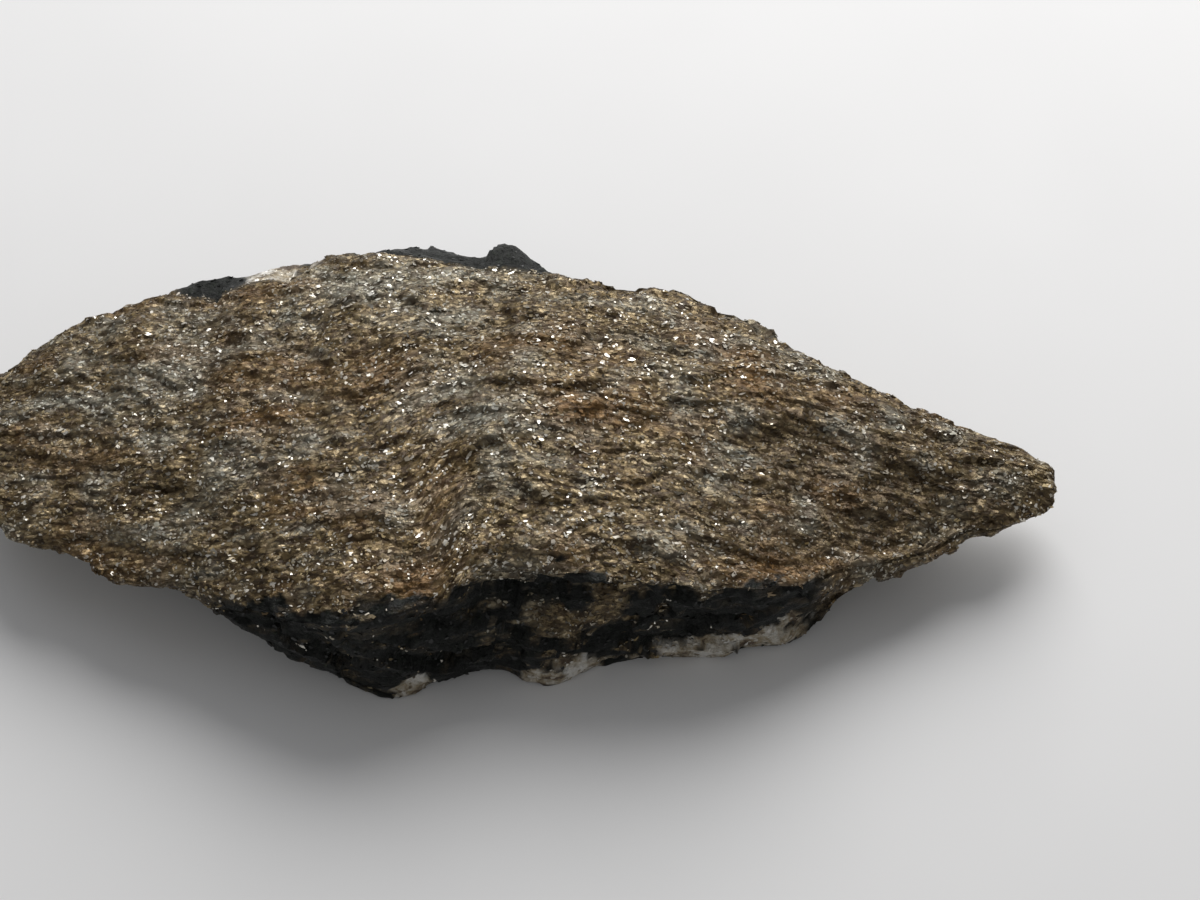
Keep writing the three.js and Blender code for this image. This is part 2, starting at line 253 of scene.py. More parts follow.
# The stone's main form as rings of points. Each ring runs over the mica face from its near lip, down the far
# flank, back along the underside and up the near flank. Returns the points and what each row of a ring is.
def stoneRings():
    x = np.linspace(-stone["halfLength"], stone["halfLength"], stone["sections"] + 1)
    rails = [alongRail(stone[name], x) for name in ("nearLip", "farLip", "farFoot", "nearFoot")]
    (nearY, nearZ), (farY, farZ), (farFootY, farFootZ), (nearFootY, nearFootZ) = rails
    x = x[:, None]
    layer, ragged = stone["layer"], stone["ragged"]
    nearY = nearY + ragged["reach"] * noise(x / ragged["wave"], 0, layer["nearLip"]) * endFade(x)
    farY = farY + ragged["reach"] * noise(x / ragged["wave"], 0, layer["farLip"]) * endFade(x)
    width = farY - nearY
    share = np.linspace(0, 1, stone["faceRows"], endpoint=False)[None, :]
    faceY = mix(nearY, farY, share)
    faceZ = mix(nearZ, farZ, share) + faceHeight(x, share, width)

    # rows of the flanks stand out by their forms and blocks, and the underside lies between the feet
    def flank(rowCount, forms, lenses, side, startY, startZ, endY, endZ, rowLayer):
        t = np.linspace(0, 1, rowCount, endpoint=False)[None, :]
        z = mix(startZ, endZ, t)
        b = stone["blocks"]
        out = b["reach"] * endFade(x) * blocks(x / b["length"], z / b["height"], rowLayer)
        out = swells(forms + lenses, x, z) + out * (1 - stone["lensSmooth"] * lensCover(lenses, x, z))
        return mix(startY, endY, t) + side * out * np.sqrt(np.sin(np.pi * t)), z, t

    outFarY, outFarZ, farT = flank(
        stone["farRows"], stone["farForms"], stone["farQuartz"], 1,
        farY, farZ, farFootY, farFootZ, layer["farBlocks"],
    )
    outNearY, outNearZ, nearT = flank(
        stone["nearRows"], stone["nearForms"], stone["nearQuartz"], -1,
        nearFootY, nearFootZ, nearY, nearZ, layer["nearBlocks"],
    )
    underT = np.linspace(0, 1, stone["underRows"], endpoint=False)[None, :]
    underY, underZ = mix(farFootY, nearFootY, underT), mix(farFootZ, nearFootZ, underT)
    y = np.hstack([faceY, outFarY, underY, outNearY])
    z = np.hstack([faceZ, outFarZ, underZ, outNearZ])
    p = np.stack([np.broadcast_to(x, y.shape), y, z], -1)

    # lumps push every point sideways, and up where it lies well above the feet
    def lumps(rowLayer):
        px, py, pz = p.transpose(2, 0, 1)
        push = sum(h * noise(px / s, py / s, pz / s + rowLayer) for s, h in stone["lumps"])
        return push * mix(stone["leastLumps"], 1, endFade(x))

    aboveFeet = np.hstack([
        1 + 0 * share, ease(0, stone["farRise"], 1 - farT), 0 * underT, ease(0, stone["nearRise"], nearT),
    ])
    moved = p.copy()
    moved[..., 1] += lumps(layer["lumpsOut"])
    moved[..., 2] += lumps(layer["lumpsUp"]) * aboveFeet

    # hollows in the underside, which stays flat between them
    lastFar = stone["faceRows"] + stone["farRows"]
    under = slice(lastFar, lastFar + stone["underRows"] + 1)
    hollow = stone["hollows"]
    moved[:, under, 2] += hollow["depth"] * noise(
        p[:, under, 0] / hollow["size"], p[:, under, 1] / hollow["size"], layer["hollows"]
    )
    moved[..., 2] = np.maximum(moved[..., 2], 0)

    # each blunt end closes over rings that shrink as a quarter of an ellipse
    turn = np.linspace(0, np.pi / 2, stone["tipRings"] + 1, endpoint=False)[1:, None, None]

    def tip(ring, side):
        middle = ring.mean(0)
        bulge = np.array([side * stone["tipBulge"], 0, 0])
        return middle + (ring - middle) * np.cos(turn) + bulge * np.sin(turn)

    p = np.concatenate([tip(moved[0], -1)[::-1], moved, tip(moved[-1], 1)])

    def padded(rows):
        ends = stone["tipRings"]
        return np.pad(np.broadcast_to(rows, (len(x), rows.shape[1])), ((ends, ends), (0, 0)), mode="edge")

    rows = {
        "share": padded(np.hstack([share + 0 * faceY, 1 + 0 * outFarY, 0.5 + 0 * underY, 0 * outNearY])),
        "width": padded(width + 0 * y),
        "lipDepth": padded(np.hstack([0 * faceY, farZ - outFarZ, farZ + 0 * underY, nearZ - outNearZ])),
        "side": padded(np.hstack([0 * faceY, 1 + 0 * outFarY, 2 + 0 * underY, 3 + 0 * outNearY])),
        "flankT": padded(np.hstack([0 * faceY, farT + 0 * outFarY, 0.5 + 0 * underY, nearT + 0 * outNearY])),
    }
    return p, rows


rings, rows = stoneRings()
boxLow, boxHigh = (np.array(corner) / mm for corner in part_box("schist"))
flatRings = rings.reshape(-1, 3)
middleShift = (boxLow + boxHigh) / 2 - (flatRings.min(0) + flatRings.max(0)) / 2
middleShift[2] = boxLow[2] - flatRings[:, 2].min()
onFace, onFar, onUnder, onNear = (rows["side"] == side for side in range(4))
print("stone form:", rings.shape, "shift", middleShift.round(3))


# The stone's skin: relief too fine for the solid, and where each mineral shows. Sizes are in millimetres.
# Waves are given as (length, breadth, height, layer).
skin = {
    # scales on the mica face: pitch across the grain, length, rise, how dark the gap behind it is painted as
    # shade, layer
    "scales": [(5.2, 9.5, 0.85, 0.5, 100), (2.3, 4.2, 0.58, 0.7, 110), (1.1, 1.9, 0.34, 0.5, 120)],
    "scaleForm": {
        "bend": 0.8, "bendLength": 1.1, "bendPitch": 2, "shift": 50, "tipped": 0.4, "gapFrom": 0.75,
    },
    # the grain climbs this far over the fold, less at the back, and falls by a slope towards the sharp end
    "grain": {
        "rise": 6.0, "farRise": 0.3, "farFade": (26, 12),
        "at": ((-20, 8), (-6.2, -14.5)), "halfWidth": ((-20, 8), (4, 10)),  # the fold's x and half, by y
        "fallFrom": 8, "fall": 0.13, "fallEase": 4,
        "halfStep": 0.5, "flankOffset": 60,
    },
    # chips on the broken faces: length, height, reach, layer
    "chips": [(5.0, 2.8, 0.75, 140), (2.3, 1.4, 0.35, 150)],
    "chipShare": {"face": 0.8, "under": 0.6, "lessOnQuartz": 0.95, "lessOnRidges": 0.6},
    "grit": [(3.6, 0.3), (1.5, 0.16)],  # size, height
    "quartzLumps": {"size": (2.2, 2, 1.6), "height": 0.5},
    # bites out of both lips
    "lipChips": {"length": 3.6, "reach": 2.2, "depth": 0.7, "farthest": 20, "layer": 170},
    "lipFade": 0.02,
    "reliefWindow": (2, 5), "flakeWindow": (1, 2),  # sections and rows over which normals are smoothed
    # the dark band shows between these x, eased over each pair
    "nearBand": (-50, -42, 50, 58),
    "farBand": (-58, -50, 32, 46),
    "underBand": (-62, -46, 44, 60),
    "underWaves": [(9, 9, 6, 22)],
    # how far mica laps over each lip, and the softness of its edge
    "micaLap": -0.3,
    "micaEdge": [(8, 8, 4.0, 29), (2.8, 2.8, 3.2, 23.8), (1.2, 1.2, 1.5, 22.2)],
    "edgeSoft": 0.3,
    "farCap": 0.25,
    "farLap": (2.6, 1.0),  # how much further over the far lip, away from the ridges and on them
    "ridgeEdge": (0.12, 0.3), "ridgeLip": (-0.1, 0.4),
    "nearMica": [(11, 15.5, 9, 3, 0.9), (18.5, 21, 4, 6, 0.9), (-24, 15, 6, 2, 0.5)],  # as the flanks' forms
    "tongueWaves": [(3, 1.6, 0.3, 31)], "tongueEdge": (0.35, 0.75),
    # brown mica in the band: richest between the middle two x, least and most, and its share on the far side
    "mottle": {
        "rich": (-7, 2, 24, 33), "amount": (0.2, 0.8), "edge": (0.12, 0.42), "far": 0.8, "clearOfRidges": 2,
        "waves": [(4.5, 1.6, 0.7, 33), (1.6, 0.8, 0.5, 34)],
    },
    "quartzEdge": (0.3, 0.5), "quartzWithin": (0.05, 0.4),
    "quartzWaves": [(2.8, 2, 0.45, 23), (1.1, 0.9, 0.2, 24)],
    "underQuartz": (0.42, 0.56), "underPatches": [(15, 10, 1, 25)],
    # stains as (x, share of the way across, half length, half share, strength)
    "rust": [
        (42, 0.74, 6, 0.1, 0.9), (13, 0.5, 7, 0.09, 0.7), (-38, 0.53, 9, 0.05, 0.8),
        (-14, 0.09, 8, 0.06, 0.7), (-18, 0.61, 7, 0.05, 0.8), (15, 0.7, 8, 0.05, 0.6),
        (46, 0.06, 14, 0.06, 0.8), (-9, 0.27, 5, 0.12, 0.5),
    ],
    "rustInGaps": 0.5, "rustClouds": [(11, 6, 1, 26)], "cloudEdge": (0.2, 0.75), "cloudRust": 0.5,
    "gold": [(-18, 0.13, 9, 0.07, 0.8), (4, 0.36, 16, 0.2, 0.45), (30, 0.6, 14, 0.2, 0.3)],
    "goldWaves": [(8, 5, 0.3, 27)],
    "silver": [
        (-60, 0.62, 24, 0.3, 0.45), (-20, 0.86, 22, 0.13, 0.4), (0, 0.47, 10, 0.15, 0.55),
        (36, 0.84, 12, 0.1, 0.4), (34, 0.5, 8, 0.1, 0.35),
    ],
    "silverWaves": [(5, 2.6, 0.7, 28)],
    # dull patches darken the mica and take away its shine. The one at the lower right is painted shade, where
    # the face turns down from the light; the others and the waves only darken and dull the mica.
    "dullAndShade": [(54, 0.35, 20, 0.34, 0.8), (74, 0.5, 18, 0.6, 0.45), (-62, 0.2, 14, 0.2, 0.35)],
    "dullAndShadeWaves": [(14, 9, 0.3, 29)],
}


# How far the grain has climbed at x and y: an eased step over the fold, and a slope on the sharp half.
def grainClimb(x, y):
    g = skin["grain"]
    fold, half = np.interp(y, *g["at"]), np.interp(y, *g["halfWidth"])
    rise = g["rise"] * mix(g["farRise"], 1, ease(*g["farFade"], y))
    sharpward = np.logaddexp(0, (x - g["fallFrom"]) / g["fallEase"]) * g["fallEase"]
    return rise * ease(-1, 1, (x - fold) / half) - g["fall"] * sharpward


# Overlapping scales: rows across the grain, cut into lens-shaped lengths that don't line up from row to row.
# Height falls from the near edge of a row to the far one, where the next scale stands up behind a gap
# painted dark as shade.
def scales(alongGrain, acrossGrain, pitch, length, layer):
    form = skin["scaleForm"]
    bend = noise(alongGrain / (form["bendLength"] * length), acrossGrain / (form["bendPitch"] * pitch), layer)
    row = acrossGrain / pitch + form["bend"] * bend
    r = np.floor(row)
    place = alongGrain / length + form["shift"] * latticeValue(r, 0, layer + 1)
    c = np.floor(place)
    lens = np.sqrt(4 * (place - c) * (1 - place + c))
    stands = 0.5 + 0.5 * latticeValue(c, r, layer + 2)
    tipped = form["tipped"] * latticeValue(c, r, layer + 3)
    shadeInGap = ease(form["gapFrom"], 1, row - r) * lens * stands
    return lens * (stands * (1 - row + r) + tipped), shadeInGap


# 1 between the middle two edges, eased to 0 at the outer two.
def band(x, edges):
    return ease(edges[0], edges[1], x) * (1 - ease(edges[2], edges[3], x))


# Sum of soft patches: a bell along the stone times a bell across it, times the strength.
def patches(places, x, share):
    return sum(s * bell((x - px) / halfX) * bell((share - ps) / halfS) for px, ps, halfX, halfS, s in places)


# Finds where each mineral shows, and pushes every point along its smoothed normal by the sum of grit, scales
# and chips, less the bites. Returns the points, the fields that materials read (painted shade in the gaps
# between scales among them), and places in the grain.
def dressStone():
    x, y, z = rings.transpose(2, 0, 1)
    share, width, depth = rows["share"], rows["width"], rows["lipDepth"]
    across = y - grainClimb(x, y)
    inside = onFace * ease(0, skin["lipFade"], share) * ease(0, skin["lipFade"], 1 - share)
    flankFade = np.sqrt(np.sin(np.pi * rows["flankT"])) * ~onFace
    fromLip = np.where(onFace, np.minimum(share, 1 - share) * width, np.where(onUnder, np.inf, depth))

    # mica caps the dark band, which bites over the lips in places
    soft = skin["edgeSoft"]
    cap = skin["micaLap"] + waves(skin["micaEdge"], x, y + z)
    below = ease(-soft, soft, np.where(onFace, -share * width, depth) - cap) * band(x, skin["nearBand"])
    onRidge = np.clip(sum(bell((x - form[0]) / form[2]) for form in stone["farForms"]), 0, 1)
    farCap = skin["farCap"] * cap + mix(*skin["farLap"], onRidge)
    pastFarLip = np.where(onFace, (share - 1) * width, depth)
    behind = ease(-soft, soft, pastFarLip - farCap) * band(x, skin["farBand"])
    ridges = swells([(*form[:4], 1) for form in stone["farForms"]], x, z)
    tongues = np.clip(swells(skin["nearMica"], x, z) + waves(skin["tongueWaves"], x, z), 0, 1)
    dark = np.select(
        [onFace, onFar, onUnder, onNear],
        [
            np.maximum(below, behind),
            np.maximum(behind, ease(*skin["ridgeEdge"], ridges) * ease(*skin["ridgeLip"], depth)),
            band(x + waves(skin["underWaves"], x, y), skin["underBand"]),
            below * (1 - ease(*skin["tongueEdge"], tongues)),
        ],
        0.0,
    )
    spots = skin["mottle"]
    offRidges = 1 - np.clip(spots["clearOfRidges"] * ridges, 0, 1)
    bare = np.where(onFar, spots["far"] * offRidges, ~onUnder)
    amount = mix(*spots["amount"], band(x, spots["rich"]))
    dark *= 1 - amount * ease(*spots["edge"], waves(spots["waves"], x, y + z)) * bare

    # lenses of quartz in the flanks, ragged at their edges, and patches of it below
    ragged = waves(skin["quartzWaves"], x, y + z)
    lenses = [lensCover(stone[name], x, z) for name in ("farQuartz", "nearQuartz")]
    lens = np.select([onFar, onNear], lenses, 0.0)
    edged = lens + ragged * ease(*skin["quartzWithin"], lens)
    quartz = ease(*skin["quartzEdge"], edged) * (onFar | onNear)
    quartz += onUnder * dark * ease(*skin["underQuartz"], waves(skin["underPatches"], x, y) + ragged)
    quartz = np.clip(quartz, 0, 1)

    # fine relief along the outward normal
    relief = sum(height * noise(x / size, y / size, z / size) for size, height in skin["grit"])
    gapShading = np.zeros_like(x)
    # scales lift the relief, and the gaps behind them are kept as painted shade for the colour
    for pitch, length, rise, shade, layer in skin["scales"]:
        height, shadeInGap = scales(x, across, pitch, length, layer)
        relief += rise * height * inside * (1 - dark)
        gapShading = np.maximum(gapShading, shade * shadeInGap * inside)
    up = np.where(onUnder, y, z)
    chips = sum(
        reach * blocks(x / length, up / height, layer) for length, height, reach, layer in skin["chips"]
    )
    part = skin["chipShare"]
    broken = np.where(onFace, part["face"] * dark, flankFade * np.where(onUnder, part["under"], 1))
    smoother = 1 - part["lessOnQuartz"] * quartz
    smoother = smoother * (1 - part["lessOnRidges"] * onFar * np.clip(ridges, 0, 1))
    lumps = skin["quartzLumps"]
    lumpy = noise(*(axis / size for axis, size in zip((x, y, z), lumps["size"])))
    relief += smoother * chips * broken * endFade(x) + lumps["height"] * quartz * lumpy
    bite = skin["lipChips"]
    inward = fromLip.clip(0, bite["farthest"]) / bite["length"]
    bites = np.maximum(blocks(x / bite["length"], inward, bite["layer"]), 0)
    relief -= bite["depth"] * bites * bell(fromLip / bite["reach"]) * endFade(x)
    normal = unit(softened(gridNormals(rings), *skin["reliefWindow"]))
    p = rings + normal * relief[..., None] + middleShift
    p[..., 2] = np.maximum(p[..., 2], 0)

    clouds = ease(*skin["cloudEdge"], waves(skin["rustClouds"], x, across))
    rust = patches(skin["rust"], x, share) + skin["rustInGaps"] * gapShading + skin["cloudRust"] * clouds
    fields = {"mica": 1 - dark, "quartz": quartz, "creaseShade": gapShading, "rust": np.clip(rust, 0, 1)}
    for name in ("gold", "silver", "dullAndShade"):
        stain = patches(skin[name], x, share) + waves(skin[name + "Waves"], x, across)
        fields[name] = np.clip(stain, 0, 1)
    flankPlace = z + skin["grain"]["flankOffset"]
    grain = np.stack([x, np.where(onFace, across, flankPlace), np.where(onFace, 0, y)], -1)
    return p, fields, grain


stonePoints, fields, grain = dressStone()
stoneNormals = unit(softened(gridNormals(stonePoints), *skin["flakeWindow"]))
ringX, ringY, halfStep = rings[..., 0], rings[..., 1], skin["grain"]["halfStep"]
climb = grainClimb(ringX + halfStep, ringY) - grainClimb(ringX - halfStep, ringY)
stoneGrain = np.stack([np.ones_like(climb), climb * onFace, 0 * climb], -1)
print("skin relief:", len(fields), "fields")


# A mesh object from whole arrays: corner numbers of all faces in one row, and how many corners each face has.
def makePiece(name, points, corners, faceSizes, uv, values, material, smooth):
    mesh = bpy.data.meshes.new(name)
    mesh.vertices.add(len(points))
    mesh.vertices.foreach_set("co", (points * mm).astype(np.float32).ravel())
    mesh.loops.add(len(corners))
    mesh.polygons.add(len(faceSizes))
    starts = np.concatenate([[0], np.cumsum(faceSizes)[:-1]])
    mesh.polygons.foreach_set("loop_start", starts.astype(np.int32))
    mesh.polygons.foreach_set("vertices", corners.astype(np.int32))
    mesh.update(calc_edges=True)
    uvMap = mesh.uv_layers.new(name="OFBake", do_init=False)
    uvMap.uv.foreach_set("vector", uv.astype(np.float32).ravel())
    for key, value in values.items():
        isVector = value.ndim == 2
        layer = mesh.attributes.new(key, "FLOAT_VECTOR" if isVector else "FLOAT", "POINT")
        layer.data.foreach_set("vector" if isVector else "value", value.astype(np.float32).ravel())
    (mesh.shade_smooth if smooth else mesh.shade_flat)()
    mesh.materials.append(material)
    piece = bpy.data.objects.new(name, mesh)
    scene.collection.objects.link(piece)
    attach(piece, "root")
    print(name, len(points), "points,", int((faceSizes - 2).sum()), "triangles")
    return piece


# The closed skin through the rings: quads between neighbours, and a fan to a middle point at each end.
def stonePiece(material):
    sections, around = stonePoints.shape[:2]
    poles = np.stack([stonePoints[0].mean(0), stonePoints[-1].mean(0)])
    poles[:, 0] += np.array([-stone["poleOut"], stone["poleOut"]])
    points = np.concatenate([stonePoints.reshape(-1, 3), poles])
    i, k = np.meshgrid(np.arange(sections - 1), np.arange(around), indexing="ij")
    nextK = (k + 1) % around
    quads = np.stack([i * around + k, (i + 1) * around + k, (i + 1) * around + nextK, i * around + nextK], -1)
    ring, nextRing = np.arange(around), np.roll(np.arange(around), -1)
    end = (sections - 1) * around
    first = np.stack([0 * ring + sections * around, ring, nextRing], -1)
    last = np.stack([0 * ring + sections * around + 1, end + nextRing, end + ring], -1)

    # the map: length along one side, and mean distance round the ring along the other
    girth = np.linalg.norm(np.roll(stonePoints, -1, 1) - stonePoints, axis=-1).mean(0)
    v = np.concatenate([[0], np.cumsum(girth)]) / girth.sum()
    margin = stone["mapMargin"]
    u = margin + (1 - 2 * margin) * np.arange(sections) / (sections - 1)
    half = (v[:-1] + v[1:]) / 2
    quadUv = np.stack([u[i], v[k], u[i + 1], v[k], u[i + 1], v[k + 1], u[i], v[k + 1]], -1)
    firstUv = np.stack([0 * half, half, 0 * half + u[0], v[:-1], 0 * half + u[0], v[1:]], -1)
    lastUv = np.stack([0 * half + 1, half, 0 * half + u[-1], v[1:], 0 * half + u[-1], v[:-1]], -1)

    def withPoles(field):
        ends = np.stack([field[0].mean(0), field[-1].mean(0)])
        return np.concatenate([field.reshape(sections * around, *field.shape[2:]), ends])

    piece = makePiece(
        "schistStone", points,
        np.concatenate([quads.ravel(), first.ravel(), last.ravel()]),
        np.repeat([4, 3], [quads.size // 4, 2 * around]),
        np.concatenate([part.reshape(-1, 2) for part in (quadUv, firstUv, lastUv)]),
        {**{key: withPoles(field) for key, field in fields.items()}, "grain": withPoles(grain)},
        material, True,
    )
    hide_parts("schist")


# Random places on the stone, as many to an area as the density says: cells by area, then a place in each.
def scatter(density, count, rng):
    p = stonePoints
    sides = np.roll(p, -1, 1)[:-1] - p[:-1], p[1:] - p[:-1]
    area = np.linalg.norm(np.cross(*sides), axis=-1) * density[:-1]
    cell = rng.choice(area.size, count, p=(area / area.sum()).ravel())
    i, k = np.divmod(cell, p.shape[1])
    return i, k, rng.random(count), rng.random(count)


# A field of the ring grid at scattered places, mixed from the four corners of their cells.
def atPlaces(field, places):
    i, k, a, b = places
    if field.ndim == 3:
        a, b = a[:, None], b[:, None]
    nextK = (k + 1) % field.shape[1]
    return mix(mix(field[i, k], field[i + 1, k], a), mix(field[i, nextK], field[i + 1, nextK], a), b)


# What all flakes share: least and greatest size, unevenness, and their places on the map's squares.
flakeForm = {
    "sizes": (0.4, 1.9), "widthSpread": 0.2, "jitter": 0.3, "radius": (0.75, 1.15),
    "mapHalf": (0.22, 0.42), "plateAt": [0.25, 0.5], "skirtAt": [0.75, 0.5],
}


# Thin flakes sunk in the stone: an uneven many-sided plate on top, and one root point below that closes it.
# Corner k lies at angle (k + jitter) * 360 / sides on an ellipse, and the plate curls down towards its ends.
def flakePiece(name, shape, places, values, material, rng):
    count, sides = len(places[0]), shape["sides"]
    centre, normal = atPlaces(stonePoints, places), unit(atPlaces(stoneNormals, places))
    forward = atPlaces(stoneGrain, places)

    def spread(width):
        return np.radians(rng.normal(0, width, (count, 1)))

    def turned(a, b, angle):
        return a * np.cos(angle) + b * np.sin(angle), b * np.cos(angle) - a * np.sin(angle)

    # turn in the plane of the stone, then tip about both of the flake's axes
    forward = unit(forward - normal * (forward * normal).sum(-1, keepdims=True))
    across = np.cross(normal, forward)
    forward, across = turned(forward, across, spread(shape["turn"]))
    normal, across = turned(normal, across, spread(shape["tip"]) + np.radians(shape["shingle"]))
    normal, forward = turned(normal, forward, spread(shape["tip"]))

    size = np.exp(rng.normal(0, shape["sizeSpread"], (count, 1))).clip(*flakeForm["sizes"])
    halfLength = shape["halfLength"] * size
    halfWidth = shape["halfWidth"] * size * np.exp(rng.normal(0, flakeForm["widthSpread"], (count, 1)))
    jitter = rng.uniform(-flakeForm["jitter"], flakeForm["jitter"], (count, sides))
    angle = 2 * np.pi / sides * (np.arange(sides) + jitter)
    radius = rng.uniform(*flakeForm["radius"], (count, sides))
    alongFlake, acrossFlake = radius * np.cos(angle), radius * np.sin(angle)
    up = rng.uniform(*shape["lift"], (count, 1)) - shape["curl"] * halfLength * alongFlake**2
    plate = (
        centre[:, None] + forward[:, None] * (halfLength * alongFlake)[..., None]
        + across[:, None] * (halfWidth * acrossFlake)[..., None] + normal[:, None] * up[..., None]
    )
    root = centre - normal * shape["depth"]
    points = np.concatenate([plate, root[:, None]], 1).reshape(-1, 3)
    points[:, 2] = np.maximum(points[:, 2], 0)

    # faces of one flake, repeated with a step of sides + 1 points
    k = np.arange(sides)
    skirt = np.stack([(k + 1) % sides, k, 0 * k + sides], -1).ravel()
    corners = (np.arange(count)[:, None] * (sides + 1) + np.concatenate([k, skirt])).ravel()
    faceSizes = np.tile([sides] + [3] * sides, count)

    # the map: one square to a flake, with its plate in one half and its skirt fanned in the other
    squares = math.ceil(math.sqrt(count))
    corner = np.stack([np.arange(count) % squares, np.arange(count) // squares], -1)[:, None]
    halfU, halfV = flakeForm["mapHalf"]
    oval = np.stack([halfU * np.cos(2 * np.pi * k / sides), halfV * np.sin(2 * np.pi * k / sides)], -1)
    fan = np.concatenate([oval, [[0, 0]]])[skirt]
    uv = (corner + np.concatenate([oval + flakeForm["plateAt"], fan + flakeForm["skirtAt"]])) / squares

    repeated = {key: np.repeat(value, sides + 1, axis=0) for key, value in values.items()}
    makePiece(name, points, corners, faceSizes, uv.reshape(-1, 2), repeated, material, False)


# Linear colour from sRGB hex: c / 12.92 in the darkest part, and ((c + 0.055) / 1.055)^2.4 above it.
def linear(hexColour):
    c = np.array([int(hexColour[i:i + 2], 16) for i in (1, 3, 5)]) / 255
    return (*np.where(c <= 0.04045, c / 12.92, ((c + 0.055) / 1.055) ** 2.4), 1)


# Fills a node's inputs: sockets are linked, and anything else is set as a value.
def fill(tree, node, inputs):
    for key, value in inputs.items():
        if isinstance(value, bpy.types.NodeSocket):
            tree.links.new(value, node.inputs[key])
        else:
            node.inputs[key].default_value = value


# Adds a node and gives its outputs. Settings are its properties, and stops are a ramp's places and colours.
def addNode(tree, kind, inputs=None, stops=(), **settings):
    node = tree.nodes.new("ShaderNode" + kind)
    for key, value in settings.items():
        setattr(node, key, value)
    fill(tree, node, inputs or {})
    for number, (at, colour) in enumerate(stops):
        elements = node.color_ramp.elements
        stop = elements[number] if number < 2 else elements.new(at)
        stop.position, stop.color = at, linear(colour)
    return node.outputs


def newMaterial(name):
    material = bpy.data.materials.new(name)
    material.use_nodes = True
    return material, material.node_tree, material.node_tree.nodes["Principled BSDF"]


# Sizes are in millimetres. Ramps give the first and last colour, then those between.
schistLook = {
    "wander": {"size": 2.5, "reach": (1.2, 0.9, 0.9)},
    "coarse": (1.7, 0.8), "fine": (0.75, 0.42),  # length and width of scales
    "fineShare": 0.5, "coarseHeight": 0.5, "fineHeight": 0.42, "gritHeight": (0.8, 0.25),
    "brown": [(0.15, "#2b2010"), (0.9, "#baa782"), (0.42, "#594a2e"), (0.65, "#85724e")],
    # the dull wash is painted shade at the lower right and a plain darker tone elsewhere
    "washes": [("dullAndShade", "#4a3d29", 0.6), ("silver", "#96968a", 0.7), ("rust", "#6c4a18", 0.78)],
    # painted shade: the colour laid in the gaps between scales
    "gapShadeColour": "#38270f", "gapEdge": (0.3, 0.75), "gapShade": 0.8,
    "gritSize": 1.1, "gritRough": 0.7,
    "black": [(0.36, "#050705"), (0.8, "#444b3c"), (0.55, "#0d110c"), (0.67, "#1b2118")],
    "patchSize": 3.4, "patchRough": 0.6,
    "milky": [(0.38, "#5f5040"), (0.64, "#e4e1da"), (0.46, "#a09279"), (0.54, "#c4bdaf")],
    "scaleRoughness": (0.5, 0.22), "bareRoughness": 0.48, "metallic": 0.5,
    "specular": (0.24, 0.5), "ior": 1.58,
}
